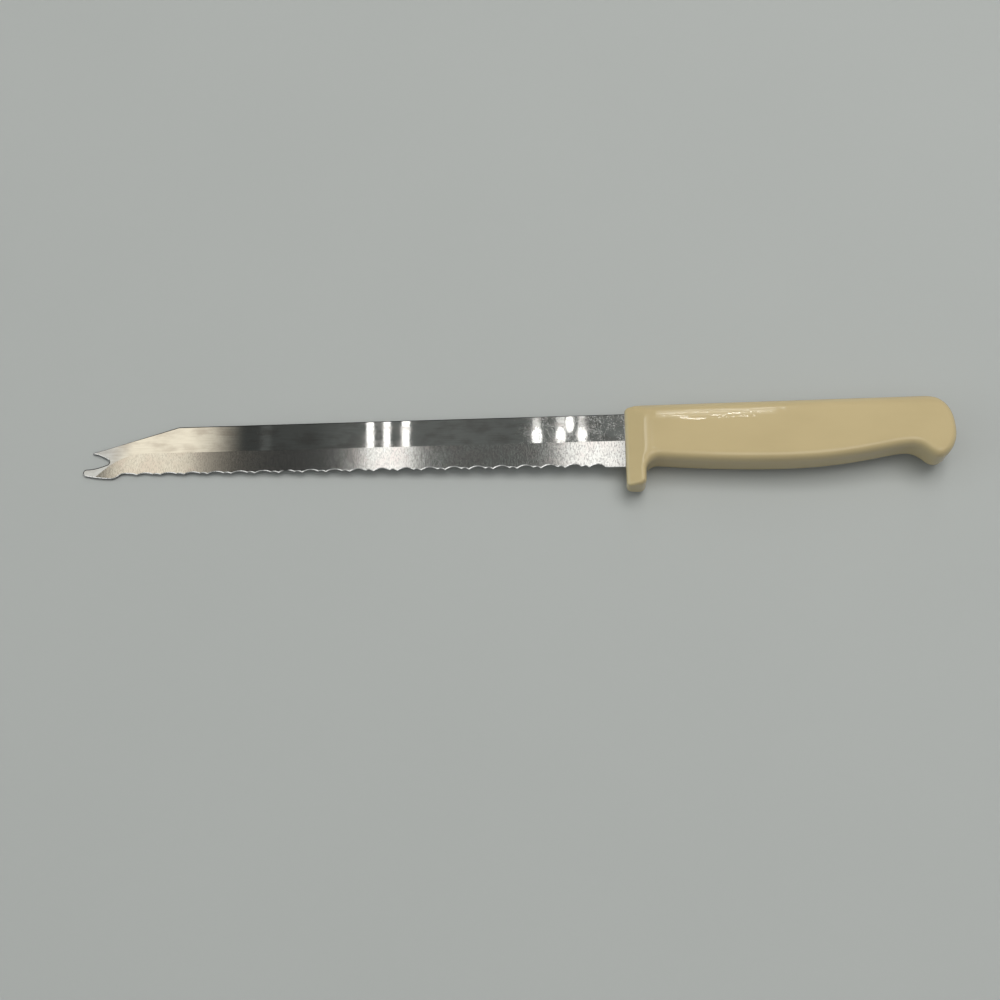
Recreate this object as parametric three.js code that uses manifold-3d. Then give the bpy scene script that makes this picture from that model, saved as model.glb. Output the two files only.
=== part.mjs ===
// A serrated kitchen knife with a forked tip and a moulded plastic handle, lying on its side.
// Millimetres. +X runs from the tip to the butt, +Y from the edge to the spine, +Z up off the table.
// Shapes are drawn round the blade's middle line, with X = 0 at the front face of the handle.

import * as THREE from 'three';
import { mergeVertices } from 'three/addons/utils/BufferGeometryUtils.js';
import Module from 'manifold-3d';

// Blade, stamped from one sheet
const bladeLength = 203;
const bladeThickness = 1.3;
const spineHeightAtHeel = 10.05;
const spineHeightAtClip = 8.95;
const clipFromTip = 35.5;

// Fork at the tip
const upperProngFromTip = 3.15;
const upperProngDrop = 0.8;
const upperProngBow = 0.8;
const notchFromTip = 9.7;
const notchDrop = 4.15;
const notchRadius = 1.2;
const notchUpperTurn = 0.95;
const notchLowerTurn = 1.3;
const lowerProngDrop = 8.3;
const lowerProngHeight = 2.6;
const prongBellyDrop = 10.75;
const prongBellyFromTip = 10.5;
const prongBellyRun = 5.5;
const prongBellyFullness = 0.9;

// Scalloped edge: a narrow notch, a long point, a wide scallop and a short point, again and again
const edgeDropAtHeel = 10.4;
const edgeDropAtTip = 9.4;
const plainEdgeAtHeel = 7.4;
const scallopWidth = 6.1;
const toothNotchWidth = 2.8;
const scallopDepthAtHeel = 1.25;
const scallopDepthAtTip = 0.6;
const shortPointRise = 0.4;
const toothNotchRise = 0.45;

// Ground zone above the edge, on both sides
const grindDropAtHeel = 0.4;
const grindDropAtTip = 1.3;
const grindFromTip = 22.5;
const grindWheelRadius = 400;
const edgeThickness = 0.4;

// Tang, with the holes that the handle's posts pass through
const heelSeatDepth = 3;
const tangEndFromButt = 35.5;
const tangHeight = 13;
const tangEndHeight = 9;
const anchorHoleRadius = 3;
const frontAnchorFromFront = 22;
const rearAnchorFromTangEnd = 22;
const tangClearance = 0.2;

// Handle, moulded in one piece
const handleLength = 120.2;
const handleThickness = 15.5;
const edgeRoundWidth = 2.4;
const edgeRoundDepth = 3.8;
const collarLip = 1.15;
const collarRise = 1.4;
const collarLength = 7.2;
const collarFrontThickness = 9.2;
const collarFrontRadius = 1.8;
const collarCornerRadius = 0.8;
const backRise = 1.05;
const backRoundDepth = 6;
const backFlatWidth = 3.6;
const buttRoundLength = 13.5;
const buttMiddleDrop = 1;
const guardReach = 8.45;
const guardWidth = 7.4;
const guardCornerRadius = 1.6;
const guardFilletRadius = 4.6;
const bellyDropAtFront = 9;
const bellyDrop = 11.1;
const bellyFromFront = 57;
const archDrop = 6.2;
const archFromButt = 16.7;
const hookDrop = 10.9;
const hookFromButt = 7.1;

// How long the handle's outline stays level at a bend, as a share of the way to the next bend
const bellyHold = 0.57;
const archFrontHold = 0.15;
const archRearHold = 0.5;
const hookFrontHold = 0.35;
const buttEndHold = 0.67;
const buttTopHold = 0.7;
const backRearHold = 0.3;
const backFrontHold = 0.35;

// How finely curves are cut, and how far a cutting shape runs past what it cuts
const curveSteps = 12;
const roundSteps = 4;
const overrun = 4;
const cutterSlack = 0.05;
const weldDistance = 1e-4;

// Sizes that follow from those above
const halfBlade = bladeThickness / 2;
const halfHandle = handleThickness / 2;
const collarHeight = spineHeightAtHeel + collarLip;
const backHeightAtFront = collarHeight + collarRise;
const backHeightAtRear = backHeightAtFront + backRise;
const guardDrop = edgeDropAtHeel + guardReach;
const tangLength = handleLength - tangEndFromButt;
const anchorPlaces = [frontAnchorFromFront, tangLength - rearAnchorFromTangEnd];

const lerp = THREE.MathUtils.lerp;
const quarter = Math.PI / 2;

const wasm = await Module();
wasm.setup();

// A closed geometry as a solid that can be joined and cut.
function toSolid(geometry) {
  const bare = geometry.index ? geometry.toNonIndexed() : geometry.clone();
  bare.deleteAttribute('normal');
  bare.deleteAttribute('uv');
  const welded = mergeVertices(bare, weldDistance);
  const vertProperties = new Float32Array(welded.attributes.position.array);
  const triVerts = new Uint32Array(welded.index.array);
  return new wasm.Manifold(new wasm.Mesh({ numProp: 3, vertProperties, triVerts }));
}

function toMesh(name, solid, material) {
  const { vertProperties, triVerts } = solid.getMesh();
  const geometry = new THREE.BufferGeometry();
  geometry.setAttribute('position', new THREE.BufferAttribute(vertProperties, 3));
  geometry.setIndex(new THREE.BufferAttribute(triVerts, 1));
  geometry.computeVertexNormals();
  const mesh = new THREE.Mesh(geometry, material);
  mesh.name = name;
  return mesh;
}

// An outline pushed out by depth along Z, half of it on each side of the middle plane.
function slab(shape, depth) {
  const options = { depth, bevelEnabled: false, curveSegments: curveSteps };
  return new THREE.ExtrudeGeometry(shape, options).translate(0, 0, -depth / 2);
}

// A curve from the path's end to (x, y), level at both ends. Larger holds keep it level for longer.
function swing(path, x, y, startHold, endHold) {
  const from = path.currentPoint.clone();
  path.bezierCurveTo(lerp(from.x, x, startHold), from.y, lerp(x, from.x, endHold), y, x, y);
}

function addHoles(shape, places, radius) {
  for (const place of places) {
    shape.holes.push(new THREE.Path().absarc(place, 0, radius, 0, 2 * Math.PI, true));
  }
}

// The tang's outline from the heel's lower corner round to its upper corner, grown by a clearance.
function traceTang(path, grow) {
  const seat = heelSeatDepth + grow;
  const half = tangHeight / 2 + grow;
  const endHalf = tangEndHeight / 2 + grow;
  const endX = tangLength + grow - endHalf;
  path.lineTo(seat, -edgeDropAtHeel - grow);
  path.lineTo(seat, -half);
  path.absarc(endX, 0, endHalf, -quarter, quarter);
  path.lineTo(seat, half);
  path.lineTo(seat, spineHeightAtHeel + grow);
}

// How far along the blade x lies, from 0 at the tip to 1 at the handle.
function along(x) {
  return (x + bladeLength) / bladeLength;
}

// The line that the teeth's long points reach.
function edgeHeight(x) {
  return -lerp(edgeDropAtTip, edgeDropAtHeel, along(x));
}

// Teeth from the fork to the plain edge beside the handle. They get deeper towards the handle.
function traceTeeth(path) {
  const toothPitch = scallopWidth + toothNotchWidth;
  const start = path.currentPoint.x;
  const count = Math.floor((-plainEdgeAtHeel - start) / toothPitch);
  const first = -plainEdgeAtHeel - count * toothPitch;
  for (let tooth = 0; tooth < count; tooth += 1) {
    const notchX = first + tooth * toothPitch;
    const pointX = notchX + toothNotchWidth;
    const pointY = edgeHeight(pointX);
    const endX = pointX + scallopWidth;
    const depth = lerp(scallopDepthAtTip, scallopDepthAtHeel, along(pointX));
    const deepen = depth / scallopDepthAtHeel;
    const endRise = tooth === count - 1 ? 0 : shortPointRise * deepen;
    path.quadraticCurveTo(
      notchX + toothNotchWidth / 2,
      pointY + (shortPointRise + 2 * toothNotchRise) * deepen,
      pointX,
      pointY,
    );
    path.quadraticCurveTo(pointX + scallopWidth / 2, pointY + 2 * depth, endX, edgeHeight(endX) + endRise);
  }
}

// The fork: the upper prong's point, the round notch and the blunt lower prong with its belly.
function traceFork(path) {
  const tip = -bladeLength;
  const notchX = tip + notchFromTip - notchRadius;
  const notchStartX = notchX + notchRadius * Math.cos(notchUpperTurn);
  const notchStartY = -notchDrop + notchRadius * Math.sin(notchUpperTurn);
  const prongRound = lowerProngHeight / 2;
  const prongTop = -lowerProngDrop + prongRound;
  const prongBottom = -lowerProngDrop - prongRound;
  const bellyX = tip + prongBellyFromTip;
  path.lineTo(tip + upperProngFromTip, -upperProngDrop);
  path.quadraticCurveTo(
    (tip + upperProngFromTip + notchStartX) / 2,
    (notchStartY - upperProngDrop) / 2 + upperProngBow,
    notchStartX,
    notchStartY,
  );
  path.absarc(notchX, -notchDrop, notchRadius, notchUpperTurn, -notchLowerTurn, true);
  path.quadraticCurveTo(tip + notchFromTip / 2, prongTop, tip + prongRound, prongTop);
  path.absarc(tip + prongRound, -lowerProngDrop, prongRound, quarter, 3 * quarter);
  path.quadraticCurveTo(
    (tip + prongRound + bellyX) / 2,
    lerp(prongBottom, -prongBellyDrop, prongBellyFullness),
    bellyX,
    -prongBellyDrop,
  );
  swing(path, bellyX + prongBellyRun, -edgeDropAtTip + scallopDepthAtTip, 1 / 2, 1 / 2);
}

// The working blade: clip, fork and teeth, and back along the spine from where the plain heel starts.
function bladeShape(heelX, heelSpine) {
  const shape = new THREE.Shape();
  shape.moveTo(clipFromTip - bladeLength, spineHeightAtClip);
  traceFork(shape);
  traceTeeth(shape);
  shape.lineTo(heelX, heelSpine);
  shape.closePath();
  return shape;
}

// The plain heel beside the handle and the tang inside it.
function heelShape(heelX, heelSpine) {
  const shape = new THREE.Shape();
  shape.moveTo(heelX, heelSpine);
  shape.lineTo(heelX, edgeHeight(heelX));
  traceTang(shape, 0);
  shape.closePath();
  addHoles(shape, anchorPlaces, anchorHoleRadius);
  return shape;
}

// The space that a grinding wheel sweeps on one side: level along the blade, and round where the wheel
// lifts off before the fork. side is 1 for the upper side and -1 for the lower.
function grindCutter(side) {
  const liftX = grindFromTip - bladeLength;
  const heelX = heelSeatDepth + overrun;
  const reach = prongBellyDrop + overrun;
  const liftTurn = Math.acos(1 - halfBlade / grindWheelRadius);
  const shape = new THREE.Shape();
  shape.moveTo(heelX, 0);
  shape.lineTo(heelX, halfBlade);
  shape.absarc(liftX, grindWheelRadius, grindWheelRadius, -quarter - liftTurn, -quarter);
  shape.closePath();
  const tilt = Math.atan((halfBlade - edgeThickness / 2) / (edgeDropAtHeel - grindDropAtHeel));
  const turn = Math.atan((grindDropAtTip - grindDropAtHeel) / bladeLength);
  return slab(shape, reach)
    .rotateX(side * quarter)
    .translate(0, -reach / 2, 0)
    .rotateX(side * tilt)
    .rotateZ(turn)
    .translate(0, -grindDropAtHeel, side * halfBlade);
}

function bladeSolid() {
  const clipX = clipFromTip - bladeLength;
  const heelX = -plainEdgeAtHeel;
  const spineShare = (heelX - clipX) / (heelSeatDepth - clipX);
  const heelSpine = lerp(spineHeightAtClip, spineHeightAtHeel, spineShare);
  return toSolid(slab(bladeShape(heelX, heelSpine), bladeThickness))
    .add(toSolid(slab(heelShape(heelX, heelSpine), bladeThickness)))
    .subtract(toSolid(grindCutter(1)))
    .subtract(toSolid(grindCutter(-1)));
}

// Side outline of the handle, from the guard by the belly, the hooked butt and the back to the collar.
// In front it runs on past the front face, where the front cutter gives it its corners.
function handleShape() {
  const corner = edgeRoundWidth + cutterSlack;
  const filletX = guardWidth + guardFilletRadius;
  const buttTopX = handleLength - buttRoundLength;
  const front = -overrun;
  const shape = new THREE.Shape();
  shape.moveTo(front + corner, -guardDrop);
  shape.absarc(guardWidth - corner, -guardDrop + corner, corner, -quarter, 0);
  shape.absarc(filletX, -bellyDropAtFront - guardFilletRadius, guardFilletRadius, Math.PI, quarter, true);
  shape.quadraticCurveTo((filletX + bellyFromFront) / 2, -bellyDrop, bellyFromFront, -bellyDrop);
  swing(shape, handleLength - archFromButt, -archDrop, bellyHold, archFrontHold);
  swing(shape, handleLength - hookFromButt, -hookDrop, archRearHold, hookFrontHold);
  shape.bezierCurveTo(
    handleLength - hookFromButt / 2,
    -hookDrop,
    handleLength,
    -(hookDrop + buttMiddleDrop) / 2,
    handleLength,
    -buttMiddleDrop,
  );
  shape.bezierCurveTo(
    handleLength,
    lerp(-buttMiddleDrop, backHeightAtRear, buttEndHold),
    lerp(buttTopX, handleLength, buttTopHold),
    backHeightAtRear,
    buttTopX,
    backHeightAtRear,
  );
  swing(shape, collarLength, backHeightAtFront, backRearHold, backFrontHold);
  const slope = collarRise / collarLength;
  shape.lineTo(front + corner, collarHeight + slope * (front + corner));
  shape.absarc(front + corner, shape.currentPoint.y - corner, corner, quarter, Math.PI);
  shape.absarc(front + corner, -guardDrop + corner, corner, Math.PI, 3 * quarter);
  return shape;
}

// Keeps what lies behind the front face, and rounds the corners at the top and under the guard.
function frontEnvelope() {
  const top = collarHeight + cutterSlack;
  const bottom = -guardDrop - cutterSlack;
  const far = handleLength + overrun;
  const shape = new THREE.Shape();
  shape.moveTo(far, top + overrun);
  shape.lineTo(collarCornerRadius + overrun, top + overrun);
  shape.absarc(collarCornerRadius, top - collarCornerRadius, collarCornerRadius, quarter, Math.PI);
  shape.absarc(guardCornerRadius, bottom + guardCornerRadius, guardCornerRadius, Math.PI, 3 * quarter);
  shape.lineTo(guardCornerRadius + overrun, bottom - overrun);
  shape.lineTo(far, bottom - overrun);
  shape.closePath();
  return slab(shape, handleThickness + 2 * overrun);
}

// The handle seen from its back: full thickness behind, tapering over the collar to a rounded front.
function collarEnvelope() {
  const halfFront = collarFrontThickness / 2;
  const slope = (halfHandle - halfFront) / collarLength;
  const taper = Math.atan(slope) + quarter;
  const far = handleLength + overrun;
  const outside = halfHandle + overrun;
  const taperEnd = collarLength + overrun / slope;
  const radius = collarFrontRadius;
  const roundX = radius - cutterSlack;
  const roundZ = halfFront - radius;
  const shape = new THREE.Shape();
  shape.moveTo(-cutterSlack, -roundZ);
  shape.absarc(roundX, roundZ, radius, Math.PI, taper, true);
  shape.lineTo(taperEnd, outside);
  shape.lineTo(far, outside);
  shape.lineTo(far, -outside);
  shape.lineTo(taperEnd, -outside);
  shape.absarc(roundX, -roundZ, radius, -taper, -Math.PI, true);
  return slab(shape, backHeightAtRear + guardDrop + 2 * overrun)
    .rotateX(quarter)
    .translate(0, (backHeightAtRear - guardDrop) / 2, 0);
}

// The handle seen from its end: flat sides and a large rounding along the back.
function backEnvelope() {
  const outside = halfHandle + overrun;
  const flat = backFlatWidth / 2;
  const roundY = backHeightAtFront - backRoundDepth;
  const roundHeight = backRoundDepth + cutterSlack;
  const roundWidth = halfHandle - flat + cutterSlack;
  const shape = new THREE.Shape();
  shape.moveTo(-guardDrop - overrun, -outside);
  shape.lineTo(roundY - overrun, -outside);
  shape.absellipse(roundY, -flat, roundHeight, roundWidth, -quarter, 0);
  shape.absellipse(roundY, flat, roundHeight, roundWidth, 0, quarter);
  shape.lineTo(roundY - overrun, outside);
  shape.lineTo(-guardDrop - overrun, outside);
  shape.closePath();
  const alongX = new THREE.Matrix4().makeBasis(
    new THREE.Vector3(0, 1, 0),
    new THREE.Vector3(0, 0, 1),
    new THREE.Vector3(1, 0, 0),
  );
  const climb = Math.atan(backRise / (handleLength - buttRoundLength - collarLength));
  return slab(shape, 2 * (handleLength + overrun))
    .applyMatrix4(alongX)
    .translate(0, -backHeightAtFront, 0)
    .rotateZ(climb)
    .translate(collarLength, backHeightAtFront, 0);
}

// The pocket that the tang fills, less the posts that stand in the tang's holes.
function tangPocket() {
  const shape = new THREE.Shape();
  shape.moveTo(-overrun, spineHeightAtHeel + tangClearance);
  shape.lineTo(-overrun, -edgeDropAtHeel - tangClearance);
  traceTang(shape, tangClearance);
  shape.closePath();
  addHoles(shape, anchorPlaces, anchorHoleRadius - tangClearance);
  return slab(shape, bladeThickness + 2 * tangClearance);
}

function handleSolid() {
  const moulding = new THREE.ExtrudeGeometry(handleShape(), {
    depth: handleThickness - 2 * edgeRoundDepth,
    bevelThickness: edgeRoundDepth,
    bevelSize: edgeRoundWidth,
    bevelOffset: -edgeRoundWidth,
    bevelSegments: roundSteps,
    curveSegments: curveSteps,
  }).translate(0, 0, edgeRoundDepth - halfHandle);
  return toSolid(moulding)
    .intersect(toSolid(frontEnvelope()))
    .intersect(toSolid(collarEnvelope()))
    .intersect(toSolid(backEnvelope()))
    .subtract(toSolid(tangPocket()));
}

const steel = new THREE.MeshStandardMaterial({ color: 0xa7a7a4, roughness: 0.25, metalness: 1 });
const creamPlastic = new THREE.MeshStandardMaterial({ color: 0xc0ae86, roughness: 0.22, metalness: 0 });

const knife = new THREE.Group();
knife.add(toMesh('blade', bladeSolid(), steel));
knife.add(toMesh('handle', handleSolid(), creamPlastic));

// The origin lies under the middle of the knife, on the table that the handle's flat side rests on.
const extent = new THREE.Box3().setFromObject(knife);
const middle = extent.getCenter(new THREE.Vector3());
knife.position.set(-middle.x, -middle.y, -extent.min.z);

export default knife;
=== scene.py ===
# %% [markdown]
# # A serrated knife with a forked tip
# The knife has two pieces: a blade stamped from one sheet of steel, and a solid plastic handle that is
# moulded round the blade's tang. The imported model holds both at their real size, in metres. This lesson
# gives them the surface of the real thing: crisp ground steel, and soft moulded plastic.

# %% Load the frame
import math

import bmesh
import bpy
from mathutils import Matrix, Vector
from mathutils.bvhtree import BVHTree


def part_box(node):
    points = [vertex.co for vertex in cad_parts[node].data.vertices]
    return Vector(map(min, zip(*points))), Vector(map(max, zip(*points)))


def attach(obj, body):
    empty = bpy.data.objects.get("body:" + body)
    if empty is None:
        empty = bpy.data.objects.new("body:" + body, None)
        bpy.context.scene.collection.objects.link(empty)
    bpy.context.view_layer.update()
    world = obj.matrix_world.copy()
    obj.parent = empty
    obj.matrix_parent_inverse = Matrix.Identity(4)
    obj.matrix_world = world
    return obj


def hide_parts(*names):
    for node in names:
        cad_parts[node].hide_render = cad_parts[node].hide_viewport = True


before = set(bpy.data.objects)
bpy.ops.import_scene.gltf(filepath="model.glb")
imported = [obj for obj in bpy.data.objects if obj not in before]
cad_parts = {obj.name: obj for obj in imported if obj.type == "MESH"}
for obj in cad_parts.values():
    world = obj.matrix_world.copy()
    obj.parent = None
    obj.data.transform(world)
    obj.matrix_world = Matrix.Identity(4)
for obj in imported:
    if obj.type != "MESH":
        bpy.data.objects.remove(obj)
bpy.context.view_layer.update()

mm = 0.001
blade_low, blade_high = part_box("blade")
handle_low, handle_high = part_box("handle")

# %% [markdown]
# ## The table
# The blade is heavy, so the knife tips forward: it lies on its tip and on the rear end of the handle's
# collar, with the butt a little off the table. The two touching points come from the frame, and the
# table is a plain plane through both. The pieces stay where the frame has them, and the table leans.

# %% Lay the table
collar_length = 7.2 * mm
table_size = 3.0
touch_x = handle_low.x + collar_length
table_tilt = math.atan2(blade_low.z - handle_low.z, touch_x - blade_low.x)
table_place = Matrix.Translation((touch_x, 0, handle_low.z)) @ Matrix.Rotation(table_tilt, 4, "Y")


def add_object(name, shape):
    """Puts a bmesh into the scene as an object at the origin."""
    mesh = bpy.data.meshes.new(name)
    shape.to_mesh(mesh)
    shape.free()
    made = bpy.data.objects.new(name, mesh)
    bpy.context.scene.collection.objects.link(made)
    return made


sheet = bmesh.new()
bmesh.ops.create_grid(sheet, x_segments=1, y_segments=1, size=table_size, matrix=table_place)
table = add_object("table", sheet)
print("table leans", round(math.degrees(table_tilt), 2), "degrees")

# %% [markdown]
# ## The camera
# The camera looks down on the knife from the side of its edge, a little off the vertical. It stands half a
# metre away with a longer lens, because a near one would make the handle's walls lean too far.

# %% Place the camera
camera_place = Vector((20.3, -177.4, 531.0)) * mm
camera_lean = math.radians(16.753)
camera_roll = math.radians(2.901)
camera_turn = math.radians(-0.388)
lens_length = 53.54
sensor_width = 36.0

lens = bpy.data.cameras.new("camera")
lens.lens = lens_length
lens.sensor_width = sensor_width
camera = bpy.data.objects.new("camera", lens)
camera.location = camera_place
camera.rotation_euler = (camera_lean, camera_roll, camera_turn)
bpy.context.scene.collection.objects.link(camera)
bpy.context.scene.camera = camera
bpy.context.scene.view_settings.view_transform = "Standard"
print("camera stands", round(camera_place.z, 3), "m above the origin")

# %% [markdown]
# ## Shader sums
# A finish is a sum of noises and masks. Blender does such sums with Math nodes, one for each sign. The
# class below wraps an output socket, so that a plain Python expression adds those nodes by itself. Any
# other node comes from its node method: the settings first, then the values or links of its sockets.


# %% A socket that can be used in sums
class Wire:
    def __init__(self, tree, socket=None):
        self.tree = tree
        self.socket = socket

    def node(self, kind, settings, inputs, output=0):
        made = self.tree.nodes.new(kind)
        for name, value in settings.items():
            setattr(made, name, value)
        for name, value in inputs.items():
            if isinstance(value, Wire):
                self.tree.links.new(value.socket, made.inputs[name])
            else:
                made.inputs[name].default_value = value
        return Wire(self.tree, made.outputs[output] if made.outputs else None)

    def math(self, operation, first, second):
        return self.node("ShaderNodeMath", {"operation": operation}, {0: first, 1: second})

    def __add__(self, other):
        return self.math("ADD", self, other)

    def __radd__(self, other):
        return self.math("ADD", other, self)

    def __sub__(self, other):
        return self.math("SUBTRACT", self, other)

    def __mul__(self, other):
        return self.math("MULTIPLY", self, other)

    def __truediv__(self, other):
        return self.math("DIVIDE", self, other)

    def ramp(self, start, end):
        """0 before start and 1 after end, with a soft change between them."""
        inputs = {"Value": self, "From Min": start, "From Max": end}
        return self.node("ShaderNodeMapRange", {"interpolation_type": "SMOOTHSTEP"}, inputs)

    def between(self, start, full, last, end):
        """Rises from start to full, and falls again from last to end."""
        return self.ramp(start, full) * self.ramp(end, last)

    def blend(self, low, high):
        """A colour that goes from low to high with this value."""
        inputs = {"Factor": self, 6: low, 7: high}
        return self.node("ShaderNodeMix", {"data_type": "RGBA"}, inputs, 2)


print("sockets can be added and multiplied")

# %% [markdown]
# Every finish starts from an empty node tree and ends in one Principled shader. Between them stand noises
# of a real size, bumps of a real depth, and masks for a stretch of the knife. They all read the object's
# own coordinates, which are metres here.


# %% The parts of a finish
def new_finish(name):
    """A material with an empty node tree, and a wire to build on."""
    material = bpy.data.materials.new(name)
    material.use_nodes = True
    material.node_tree.nodes.clear()
    return material, Wire(material.node_tree)


def noise(wire, size, stretch=(1, 1, 1), detail=2.0):
    """Noise with lumps of about that size, drawn out along each axis by stretch."""
    place = wire.node("ShaderNodeTexCoord", {}, {}, "Object")
    scale = [1 / (size * share) for share in stretch]
    drawn = wire.node("ShaderNodeMapping", {}, {"Vector": place, "Scale": scale})
    return wire.node("ShaderNodeTexNoise", {}, {"Vector": drawn, "Scale": 1.0, "Detail": detail})


def along_knife(wire):
    """The place along the knife, from the tip's side to the butt's."""
    place = wire.node("ShaderNodeTexCoord", {}, {}, "Object")
    return wire.node("ShaderNodeSeparateXYZ", {}, {"Vector": place})


def bump(wire, height, depth, **under):
    """A bump of that depth, which may lie on another bump, its Normal."""
    return wire.node("ShaderNodeBump", {}, {"Height": height, "Strength": 1.0, "Distance": depth, **under})


def shade(wire, **inputs):
    """Ends a finish with a Principled shader. Underscores in the names stand for spaces."""
    sockets = {name.replace("_", " "): value for name, value in inputs.items()}
    shader = wire.node("ShaderNodeBsdfPrincipled", {}, sockets)
    wire.node("ShaderNodeOutputMaterial", {}, {"Surface": shader})


print("finishes can be made")

# %% [markdown]
# ## The table's finish
# A plain pale grey, matt, with clouds too faint to draw the eye.

# %% Paint the table
table_grey = (0.41, 0.425, 0.42, 1)
table_cloud_grey = (0.425, 0.44, 0.435, 1)
table_cloud_size = 90 * mm
table_roughness = 0.6
table_gloss = 0.2

table_paint, wire = new_finish("table_grey")
table_colour = noise(wire, table_cloud_size).blend(table_grey, table_cloud_grey)
shade(wire, Base_Color=table_colour, Roughness=table_roughness, Specular_IOR_Level=table_gloss)
table.data.materials.append(table_paint)
print("table painted")

# %% [markdown]
# ## Light by mirror
# Polished steel has no colour of its own: it shows the room. So the lamps hang where the camera sees
# them in the blade. A line from the camera to a point of the blade is reflected there, and runs on to the
# lamp. How large a lamp looks on the blade follows from the two distances, so sizes are given as they look.

# %% Find the place on the ceiling that a point of the knife shows
ceiling_height = 2.0
lamp_white = (1.0, 0.99, 0.96)
flat_height = blade_high.z
camera_height = camera_place.z - flat_height
lamp_scale = 1 + (ceiling_height - flat_height) / camera_height


def seen_in(x, y, lean=0.0, level=flat_height):
    """The ceiling point that the camera sees at (x, y) in a gloss that leans to the edge by that angle."""
    point = Vector((x, y, level))
    upright = Vector((0, -math.sin(lean), math.cos(lean)))
    line = (point - camera_place).reflect(upright)
    return point + line * (ceiling_height - level) / line.z


def add_lamp(name, place, width, length, strength, outline="RECTANGLE"):
    """A flat white lamp that shines down. Strength is its brightness, where 1 is white."""
    light = bpy.data.lights.new(name, "AREA")
    light.shape = outline
    light.size = width
    light.size_y = length
    light.color = lamp_white
    light.energy = strength * math.pi * width * length
    lamp = bpy.data.objects.new(name, light)
    lamp.location = place
    bpy.context.scene.collection.objects.link(lamp)
    return lamp


print("the blade's middle shows", [round(part, 2) for part in seen_in(0, 0)])

# %% Hang the tubes that the polished flat shows
flat_middle_y = 7 * mm
tubes = [-53.6, -47.4, -40.1]
tube_width = 2.5 * mm * lamp_scale
tube_length = 0.7
tube_middle = 0.95
tube_strength = 2.6
for number, x in enumerate(tubes):
    place = seen_in(x * mm, flat_middle_y)
    place.y = tube_middle
    add_lamp(f"tube_{number}", place, tube_width, tube_length, tube_strength)
print("tubes:", len(tubes))

# %% [markdown]
# Nearer to the handle the flat shows bulbs. Three of them hang from a dimmer neck, which the flat shows
# above the bulb. The fourth hangs further back, and the spine cuts its neck off.

# %% Hang the bulbs
low_bulb_y = 4.7 * mm
high_bulb_y = 9.6 * mm
bulbs = [(8.9, low_bulb_y), (17.4, low_bulb_y), (20.8, high_bulb_y), (25.6, low_bulb_y)]
bulb_width = 3.4 * mm * lamp_scale
bulb_length = 7.5 * mm * lamp_scale
bulb_strength = 2.6
neck_width = 2.4 * mm * lamp_scale
neck_length = 18 * mm * lamp_scale
neck_strength = 1.2
for number, (x, y) in enumerate(bulbs):
    place = seen_in(x * mm, y)
    add_lamp(f"bulb_{number}", place, bulb_width, bulb_length, bulb_strength, "ELLIPSE")
    if y == low_bulb_y:
        place.y += neck_length / 2
        add_lamp(f"neck_{number}", place, neck_width, neck_length, neck_strength)
print("bulbs:", len(bulbs))

# %% [markdown]
# The ground zone leans a little, so it shows another part of the ceiling, where two panels hang. Each has
# its place and its width on the blade in millimetres, and its strength. The main light is soft and gives
# no reflection.

# %% Hang the panels and the main light
grind_lean = math.radians(2.58)
grind_middle_y = -5 * mm
panels = [(-46.6, 17.5, 1.8), (30.0, 24.0, 1.65)]
panel_length = 0.22
for number, (x, width, strength) in enumerate(panels):
    place = seen_in(x * mm, grind_middle_y, grind_lean)
    add_lamp(f"panel_{number}", place, width * mm * lamp_scale, panel_length, strength)

main_place = (0.65, 0.65, 2.2)
main_width = 1.6
main_length = 1.2
main_strength = 5.7
main_light = add_lamp("main_light", main_place, main_width, main_length, main_strength)
main_light.visible_glossy = False

# %% [markdown]
# ## The room
# The room is dim, so the steel looks dark between the lamps. It is a colour for each direction, because
# then its borders can be soft. A direction is split into far, how much it runs to the back for each metre
# up, and shown, the place along the blade that shows it to the camera.

# %% Split a direction of the room
lowest_slope = 0.05

world = bpy.data.worlds.new("room")
bpy.context.scene.world = world
world.use_nodes = True
world.node_tree.nodes.clear()
room = Wire(world.node_tree)
direction = room.node("ShaderNodeTexCoord", {}, {}, "Generated")
split = room.node("ShaderNodeSeparateXYZ", {}, {"Vector": direction})
across, away, up = [Wire(room.tree, output) for output in split.socket.node.outputs]
height = room.math("MAXIMUM", up, lowest_slope)
far = away / height
sideways = across / height
shown = sideways * camera_height + camera_place.x


def shown_between(start, full, last, end):
    """A mask for what the blade shows between those places, in millimetres."""
    return shown.between(start * mm, full * mm, last * mm, end * mm)


print("the tip shows a slope of", round((blade_low.x - camera_place.x) / camera_height, 2))

# %% Make the dim grey of the room
room_green = (0.97, 1.03, 0.99, 1)
black = (0, 0, 0, 1)
darkest = 0.04
band_start = 5.3 * mm
band_width = 24.7 * mm
band_level = 0.07
pale_level = 0.05
middle_level = 0.095
heel_level = 0.04

settings = {"noise_dimensions": "1D"}
inputs = {"W": shown - band_start, "Scale": 1 / band_width, "Detail": 1.0}
bands = room.node("ShaderNodeTexNoise", settings, inputs)
pale_band = shown_between(-96, -94, -92, -90)
middle_glow = shown.ramp(-81 * mm, -57 * mm)
heel_glow = shown.ramp(26 * mm, 40 * mm)
grey = darkest + bands * band_level + pale_band * pale_level
grey = grey + middle_glow * middle_level + heel_glow * heel_level
dim = grey.blend(black, room_green)
print("room is dim")

# %% [markdown]
# To the left there is a warm bright wall, which the blade's tip shows. A bright strip overhead, on the
# camera's side, draws the light line along the teeth and along the handle's lower edge. It isn't equally
# bright all along.

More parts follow.
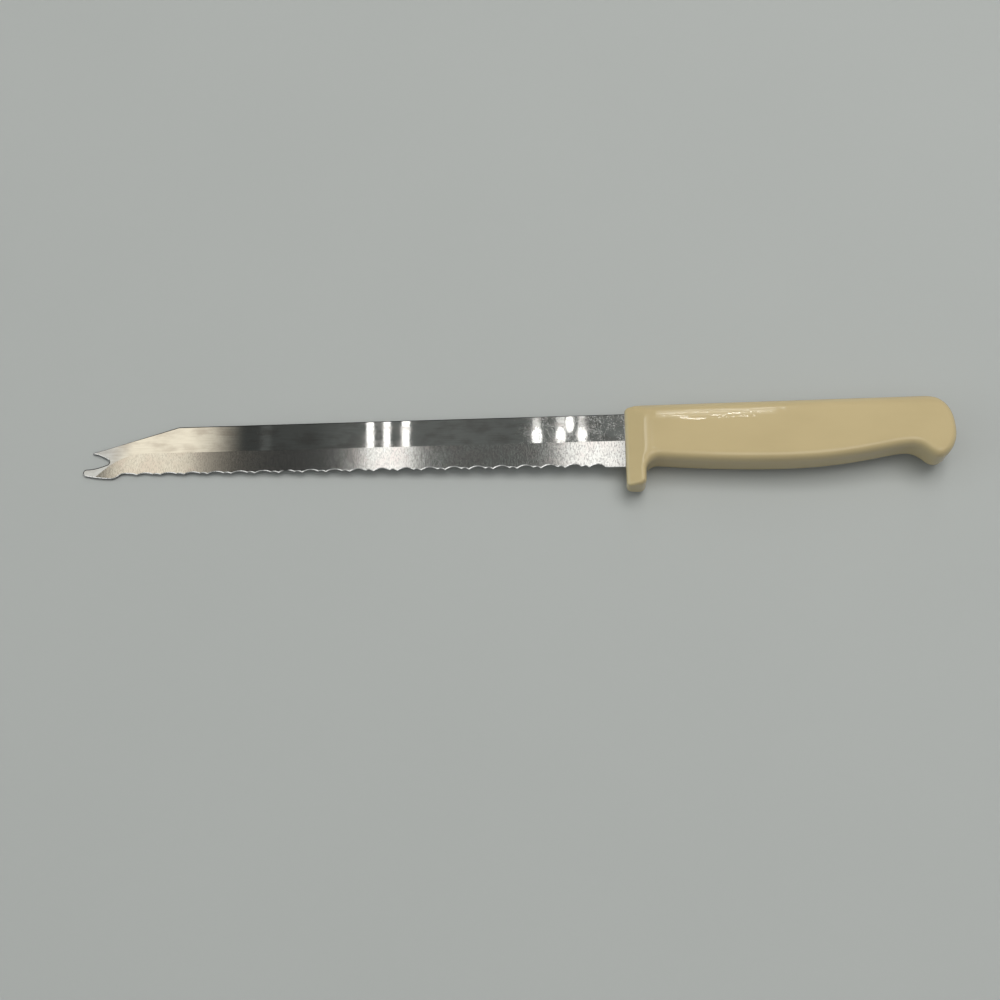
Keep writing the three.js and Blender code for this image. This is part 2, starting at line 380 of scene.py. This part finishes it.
# %% Add the wall and the strip
wall_cream = (1.36, 1.25, 1.02, 1)
wall_grey = (0.95, 0.95, 0.9, 1)
strip_white = (2.5, 2.5, 2.45, 1)
lowest_strip = 0.06
left_strip = 0.26
tip_strip = 0.16
heel_strip = 0.16
handle_strip = 0.6

wall = shown_between(-215, -183, -123, -100) * far.between(-0.1, 0.15, 0.6, 0.8)
wall_colour = shown.ramp(-142 * mm, -154 * mm).blend(wall_cream, wall_grey)
strip_level = lowest_strip + shown.ramp(-105 * mm, -125 * mm) * left_strip
strip_level = strip_level + shown_between(-240, -215, -125, -105) * tip_strip
strip_level = strip_level + shown_between(14, 26, 40, 50) * heel_strip
strip_level = strip_level + shown_between(44, 56, 190, 230) * handle_strip
strip = far.between(-0.8, -0.6, 0.0, 0.08) * strip_level
lit = strip.blend(wall.blend(dim, wall_colour), strip_white)
print("wall and strip added")

# %% [markdown]
# A window low on the left lights the collar's front, and a bar of light above it lights the crease behind
# the collar. A window behind the table brightens the handle's round back. Its upper part is patchy, as if
# trees stood before it. The camera itself sees only a plain backdrop.

# %% Add the windows and finish the room
window_white = (1.3, 1.55, 1.5, 1)
back_white = (1.9, 1.95, 1.9, 1)
patch_white = (6.0, 6.1, 5.9, 1)
backdrop_grey = (0.44, 0.455, 0.45, 1)
patch_width = 0.008
patch_height = 0.4

window = across.ramp(-0.8, -0.92)
bar = sideways.between(-0.95, -0.85, -0.5, -0.4) * far.between(0.25, 0.32, 0.5, 0.6)
back = far.between(0.395, 0.44, 1.4, 2.4) * across.between(0.052, 0.068, 0.128, 0.145)
inputs = {"X": across / patch_width, "Y": far / patch_height}
spread = room.node("ShaderNodeCombineXYZ", {}, inputs)
inputs = {"Vector": spread, "Scale": 1.0}
patches = room.node("ShaderNodeTexNoise", {"noise_dimensions": "2D"}, inputs)
bright = back * far.ramp(0.55, 0.65) * patches.ramp(0.5, 0.6)

lit = window.blend(bar.blend(lit, strip_white), window_white)
lit = bright.blend(back.blend(lit, back_white), patch_white)
seen = room.node("ShaderNodeLightPath", {}, {}, "Is Camera Ray")
inputs = {"Color": seen.blend(lit, backdrop_grey), "Strength": 1.0}
glow = room.node("ShaderNodeBackground", {}, inputs)
room.node("ShaderNodeOutputWorld", {}, {"Surface": glow})
print("room coloured")

# %% [markdown]
# ## The blade
# The blade is cut from sheet, then ground below a line along its middle, and its scalloped edge gets a
# second, steeper grind. The frame's solid has the outline and the main grind. A copy of it is merged and
# its flat stretches are joined to single faces. Insetting each side and lowering its rim makes one narrow
# slope all round: along the teeth it is the steep grind, and elsewhere the rounding left by tumbling.
# A bevel would give the same slope on the sheared wall too, which is only 0.4 mm high at the teeth.

# %% Copy a solid and join its flat stretches
merge_distance = 0.02 * mm
flat_angle = math.radians(0.05)


def merged_copy(node):
    """A copy of a solid as one joined mesh."""
    shape = bmesh.new()
    shape.from_mesh(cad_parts[node].data)
    bmesh.ops.remove_doubles(shape, verts=shape.verts[:], dist=merge_distance)
    return shape


blank = merged_copy("blade")
bmesh.ops.dissolve_limit(blank, angle_limit=flat_angle, verts=blank.verts[:], edges=blank.edges[:])
print("blade blank:", len(blank.faces), "faces")

# %% Mark the zones of the blade
side_upright = 0.7
ground_lean = math.sin(math.radians(1))
polished, brushed, honed, sheared = range(4)


def is_side(face):
    """Whether a face belongs to a side of the sheet, and not to the wall between the two sides."""
    return abs(face.normal.z) > side_upright


for face in blank.faces:
    ground = is_side(face) and face.normal.y < -ground_lean
    face.material_index = sheared if not is_side(face) else brushed if ground else polished
print("ground faces:", sum(1 for face in blank.faces if face.material_index == brushed))

# %% Inset the rim of both sides, up to the handle
rim_width = 0.32 * mm
rim_end = handle_low.x + 1 * mm

everything = blank.verts[:] + blank.edges[:] + blank.faces[:]
bmesh.ops.bisect_plane(
    blank, geom=everything, dist=merge_distance, plane_co=(rim_end, 0, 0), plane_no=(1, 0, 0)
)
rim = []
for facing in (1, -1):
    side = [face for face in blank.faces if face.normal.z * facing > 0 and is_side(face)]
    side = [face for face in side if face.calc_center_median().x < rim_end]
    rim += bmesh.ops.inset_region(blank, faces=side, thickness=rim_width, use_boundary=True)["faces"]
print("rim faces:", len(rim))

# %% [markdown]
# The rim's outer points are lowered towards the middle of the sheet. Rim faces over a wall that faces down,
# to the teeth, become the steep grind. Only the place where the main grind runs out is curved, so only that
# is shaded smooth.

# %% Slope the rim
rim_drop = 0.08 * mm
facing_down = -0.2
run_out_lean = math.sin(math.radians(0.15))
middle_z = (blade_low.z + blade_high.z) / 2


def walls_beside(part):
    """The sheared walls that a face or a point of the rim touches."""
    if isinstance(part, bmesh.types.BMVert):
        return [face for face in part.link_faces if not is_side(face)]
    return [face for edge in part.edges for face in edge.link_faces if not is_side(face)]


for face in rim:
    toothed = any(wall.normal.y < facing_down for wall in walls_beside(face))
    face.material_index = honed if toothed else sheared
lowered = {vert for face in rim for vert in face.verts if walls_beside(vert)}
for vert in lowered:
    vert.co.z -= math.copysign(rim_drop, vert.co.z - middle_z)
blank.normal_update()
for face in blank.faces:
    face.smooth = face.material_index == brushed and face.normal.x > run_out_lean
blade = add_object("knife_blade", blank)
print("blade:", len(blade.data.polygons), "faces, rim points", len(lowered))

# %% [markdown]
# ## The handle
# The handle is one solid moulding: flat sides, a round back, a collar that tapers to the blade, a finger
# guard and a hooked butt, with every corner softened. Softening each edge by itself would need dozens of
# bevels that meet badly. Instead a copy of the solid is rebuilt as an even net of small faces, and the
# net is relaxed, which rounds all the corners at once and leaves the flat sides flat.

# %% Rebuild the moulding as a fine net
net_size = 0.45 * mm

moulding = add_object("knife_handle", merged_copy("handle"))
remesh = moulding.modifiers.new("net", "REMESH")
remesh.mode = "VOXEL"
remesh.voxel_size = net_size
evaluated = moulding.evaluated_get(bpy.context.evaluated_depsgraph_get())
net = bmesh.new()
net.from_mesh(bpy.data.meshes.new_from_object(evaluated))
moulding.modifiers.clear()
for face in net.faces:
    face.smooth = True
print("handle net:", len(net.verts), "points")

# %% [markdown]
# All points are relaxed but those of the slot's front end, which has to fit the blade. Then two places get
# more: the crease where the collar starts to taper, and the collar's front edge. The front edge moves only
# in height, so that the outline stays.

# %% Relax the net
relax_share = 0.5
relax_rounds = 6
slot_reach = 2 * mm
crease_rounds = 25
crease_reach = 3.5 * mm
crease_low = -8 * mm
crease_depth = 4.5 * mm
front_rounds = 25
front_reach = 3 * mm
handle_middle_z = (handle_low.z + handle_high.z) / 2


def off_middle(vert):
    """How far a point is from the handle's middle plane."""
    return abs(vert.co.z - handle_middle_z)


def relax(points, rounds, along_table=True):
    """Moves points towards the mean of their neighbours, in height alone if along_table is False."""
    axes = {"use_axis_x": along_table, "use_axis_y": along_table, "use_axis_z": True}
    for _ in range(rounds):
        bmesh.ops.smooth_vert(net, verts=points, factor=relax_share, **axes)


slot = [vert for vert in net.verts if off_middle(vert) < slot_reach]
lips = {vert for vert in slot if vert.co.x < handle_low.x + slot_reach}
relax([vert for vert in net.verts if vert not in lips], relax_rounds)
crease = [vert for vert in net.verts if abs(vert.co.x - touch_x) < crease_reach]
crease = [vert for vert in crease if vert.co.y > crease_low and off_middle(vert) > crease_depth]
relax(crease, crease_rounds)
front = [vert for vert in net.verts if vert.co.x < handle_low.x + front_reach]
front = [vert for vert in front if off_middle(vert) > slot_reach]
relax(front, front_rounds, along_table=False)
print("relaxed more:", len(crease), "points of the crease and", len(front), "of the front")

# %% [markdown]
# The plastic is moulded tight round the blade, but the frame's slot has some room in it. So the points of
# the slot's front end, which the relaxing left alone, move up to the steel: to the flat of the blade above
# the grind, and closer together below, where the blade gets thinner.

# %% Close the slot round the blade
grind_start = 2.2 * mm
heel_edge = -7.7 * mm
heel_spine = 12.7 * mm
slot_half = 1.12 * mm
lip_gap = 0.03 * mm
half_blade = (blade_high.z - blade_low.z) / 2
for vert in lips:
    lift = vert.co.z - handle_middle_z
    if abs(lift) < slot_half and heel_edge < vert.co.y < heel_spine:
        ground = max(0, grind_start - vert.co.y) * math.tan(grind_lean)
        vert.co.z = handle_middle_z + math.copysign(half_blade - ground + lip_gap, lift)
print("slot points:", len(lips))

# %% [markdown]
# The sides aren't quite flat near the back: they fall away by half a millimetre, with a slope that
# grows towards the back. Such a slope is too small to see by itself, but it shows lights that hang far
# behind the table.

# %% Roll the sides off towards the back
back_rise = 1.05 * mm
roll_reach = 9 * mm
roll_drop = 0.45 * mm
half_handle = (handle_high.z - handle_low.z) / 2


def back_height(x):
    """The height of the handle's back over the blade's middle line at x."""
    return handle_high.y - back_rise * (handle_high.x - x) / (handle_high.x - handle_low.x)


for vert in net.verts:
    depth = back_height(vert.co.x) - vert.co.y
    roll = min(1, max(0, 1 - depth / roll_reach)) ** 2
    vert.co.z -= (vert.co.z - handle_middle_z) * roll * roll_drop / half_handle
print("sides roll off by", round(roll_drop / mm, 2), "mm")

# %% [markdown]
# Two rows of glints run along the back. Each is given as it looks on the handle: its place along the knife,
# its depth under the back and its width, in millimetres. The surface's slope at its upper and its lower
# border says where the pane that makes it hangs, and how long that pane is.

# %% Hang the panes that make the glints
glint_height = 0.4 * mm
slope_step = 0.4 * mm
pane_strength = 19.0
arc_glints = [(60.2, 6.3, 2.6), (62.8, 7.0, 3.0), (65.8, 7.5, 3.4), (68.9, 7.8, 3.0)]
lower_glints = [(73.5, 6.7, 3.4), (77.2, 7.8, 3.0), (85.2, 7.5, 4.0)]
upper_glints = [(57.5, 5.4, 1.2), (65.2, 5.3, 2.2), (81.2, 6.0, 3.0), (89.8, 5.8, 1.6)]
glints = arc_glints + lower_glints + upper_glints
surface = BVHTree.FromBMesh(net)
downwards = Vector((0, 0, -1))


def side_height(x, depth):
    """The height of the handle's upper side at that depth under its back."""
    above = Vector((x, back_height(x) - depth, ceiling_height))
    return surface.ray_cast(above, downwards)[0].z


def shown_by_side(x, depth):
    """The ceiling point that the camera sees in the handle's upper side there."""
    rise = side_height(x, depth + slope_step) - side_height(x, depth - slope_step)
    lean = math.atan2(-rise, 2 * slope_step)
    return seen_in(x, back_height(x) - depth, lean, handle_high.z)


for number, (x, depth, width) in enumerate(glints):
    first = shown_by_side(x * mm, depth * mm - glint_height / 2)
    last = shown_by_side(x * mm, depth * mm + glint_height / 2)
    place = (first + last) / 2
    add_lamp(f"pane_{number}", place, width * mm * lamp_scale, (first - last).length, pane_strength)
net.to_mesh(moulding.data)
net.free()
print("handle:", len(moulding.data.polygons), "faces, panes", len(glints))

# %% [markdown]
# ## Polished steel
# The flat above the grind is polished to a mirror, with faint clouds of wear and hairline scratches. Near
# the handle, where it stays wet, patches of fine grains dull it. The sheet isn't quite flat, so the mirror
# waves a little. Waves and specks are far too shallow for geometry, so they are bumps.

# %% Make the polished steel
steel_grey = (0.62, 0.62, 0.605, 1)
steel_dull_grey = (0.43, 0.41, 0.395, 1)
wear_size = 4 * mm
wear_share = 0.7
wear_roughness = 0.02
scratch_size = 0.4 * mm
scratch_share = 0.3
wave_size = 12 * mm
wave_depth = 0.006 * mm
speck_size = 0.7 * mm
speck_depth = 0.0004 * mm
grain_size = 0.32 * mm
grain_patch_size = 3 * mm
grain_roughness = 0.28
polish_roughness = 0.018

polish, wire = new_finish("polished_steel")
wear = noise(wire, wear_size, stretch=(2, 1, 1), detail=6.0).ramp(0.4, 0.7)
scratches = noise(wire, scratch_size, stretch=(20, 1, 1), detail=3.0).ramp(0.35, 0.75)
waves = noise(wire, wave_size, stretch=(1, 2, 1), detail=1.0)
specks = noise(wire, speck_size, stretch=(1.5, 1, 1))
worn = along_knife(wire).ramp(-2 * mm, 12 * mm) * noise(wire, grain_patch_size).ramp(0.34, 0.56)
grains = noise(wire, grain_size, stretch=(1.3, 1, 1), detail=3.0).ramp(0.52, 0.62) * worn
dullness = wear * wear_share + scratches * scratch_share
shade(
    wire,
    Base_Color=dullness.blend(steel_grey, steel_dull_grey),
    Metallic=1.0,
    Roughness=polish_roughness + wear * wear_roughness + grains * grain_roughness,
    Normal=bump(wire, specks, speck_depth, Normal=bump(wire, waves, wave_depth)),
)
blade.data.materials.append(polish)
print("polished steel made")

# %% [markdown]
# ## Ground steel
# The ground zone carries upright lines from the grinding wheel, coarse and fine ones, far finer than a
# millimetre. Dark pits break them up, most of all at the heel. Behind the tip a stretch of the zone is
# darker, with soft ends.

# %% Make the ground steel
steel_rose_grey = (0.59, 0.55, 0.535, 1)
steel_line_grey = (0.53, 0.52, 0.5, 1)
steel_dark_grey = (0.36, 0.35, 0.345, 1)
coarse_line_size = 0.4 * mm
fine_line_size = 0.18 * mm
line_depth = 0.0012 * mm
line_roughness = 0.06
ground_roughness = 0.05
tint_size = 8 * mm
pit_size = 0.38 * mm
pit_share = 0.45
heel_pit_share = 0.4
darker_stretch_share = 0.8

grinding, wire = new_finish("ground_steel")
coarse_lines = noise(wire, coarse_line_size, stretch=(1, 9, 9))
fine_lines = noise(wire, fine_line_size, stretch=(1, 6, 6), detail=1.0)
lines = coarse_lines * 0.5 + fine_lines * 0.5
tint = noise(wire, tint_size, detail=3.0).ramp(0.4, 0.65)
pits = noise(wire, pit_size, stretch=(1, 2.5, 2.5), detail=3.0).ramp(0.5, 0.6)
along = along_knife(wire)
darker_stretch = along.between(-125 * mm, -113 * mm, -75 * mm, -60 * mm)
heel = along.ramp(0 * mm, 20 * mm)
lined = lines.ramp(0.35, 0.6).blend(steel_line_grey, tint.blend(steel_grey, steel_rose_grey))
darkness = darker_stretch * darker_stretch_share + pits * (pit_share + heel * heel_pit_share)
shade(
    wire,
    Base_Color=darkness.blend(lined, steel_dark_grey),
    Metallic=1.0,
    Roughness=ground_roughness + lines * line_roughness,
    Normal=bump(wire, lines, line_depth),
)
blade.data.materials.append(grinding)
print("ground steel made")

# %% [markdown]
# ## Honed and stamped steel
# The steep grind along the teeth is bright, with a scored grain across the edge. The rest of the rim, and
# the wall that the stamping tool sheared, have a torn grain and are painted near black: painted shade and a
# painted dark reflection, for the shadowed gap under the blade and the dim room that these narrow faces
# show.

# %% Make the honed teeth
honed_grey = (0.8, 0.8, 0.79, 1)
honed_score_grey = (0.45, 0.45, 0.44, 1)
score_size = 0.25 * mm
score_roughness = 0.1
honed_roughness = 0.14

honing, wire = new_finish("honed_steel")
scores = noise(wire, score_size, stretch=(1, 6, 6))
honed_colour = scores.ramp(0.3, 0.6).blend(honed_score_grey, honed_grey)
shade(wire, Base_Color=honed_colour, Metallic=1.0, Roughness=honed_roughness + scores * score_roughness)
blade.data.materials.append(honing)
print("honed teeth made")

# %% Make the stamped rim, painted near black as shade
# These near-black greys are painted shade and painted dark reflection, far darker than sheared steel.
rim_painted_shade_grey = (0.05, 0.05, 0.049, 1)
rim_painted_shade_dark_grey = (0.02, 0.02, 0.02, 1)
tear_size = 0.6 * mm
tear_roughness = 0.15
rim_roughness = 0.3

painted_shade_finish, wire = new_finish("stamped_rim_painted_shade")
torn = noise(wire, tear_size, stretch=(2, 2, 1), detail=3.0)
torn_painted_shade = torn.blend(rim_painted_shade_dark_grey, rim_painted_shade_grey)
shade(wire, Base_Color=torn_painted_shade, Metallic=1.0, Roughness=rim_roughness + torn * tear_roughness)
blade.data.materials.append(painted_shade_finish)
print("blade finishes:", [finish.name for finish in blade.data.materials])

# %% [markdown]
# ## Cream plastic
# The handle is glossy cream plastic, coloured right through. Moulded plastic is never quite even: its
# colour drifts a little along the handle, its surface ripples where it shrank, and its gloss has a faint
# orange peel.

# %% Make the plastic
cream = (0.535, 0.428, 0.238, 1)
cream_deep = (0.505, 0.402, 0.222, 1)
drift_size = 18 * mm
drift_roughness = 0.012
plastic_roughness = 0.016
ripple_size = 4.5 * mm
ripple_depth = 0.045 * mm
peel_size = 1.8 * mm
peel_depth = 0.009 * mm

plastic, wire = new_finish("cream_plastic")
drift = noise(wire, drift_size, stretch=(2, 1, 1), detail=3.0)
ripple = noise(wire, ripple_size, stretch=(2, 1, 1), detail=1.0)
peel = noise(wire, peel_size)
shade(
    wire,
    Base_Color=drift.ramp(0.3, 0.7).blend(cream_deep, cream),
    Roughness=plastic_roughness + drift * drift_roughness,
    Normal=bump(wire, peel, peel_depth, Normal=bump(wire, ripple, ripple_depth)),
)
moulding.data.materials.append(plastic)
print("plastic made")

# %% [markdown]
# ## Hand the pieces to the frame
# Both pieces ride on the knife's only body, and each stands for its solid.

# %% Tie the pieces to the frame
for piece, node, slot in ((blade, "blade", "steel"), (moulding, "handle", "cream_plastic")):
    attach(piece, "root")
    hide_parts(node)
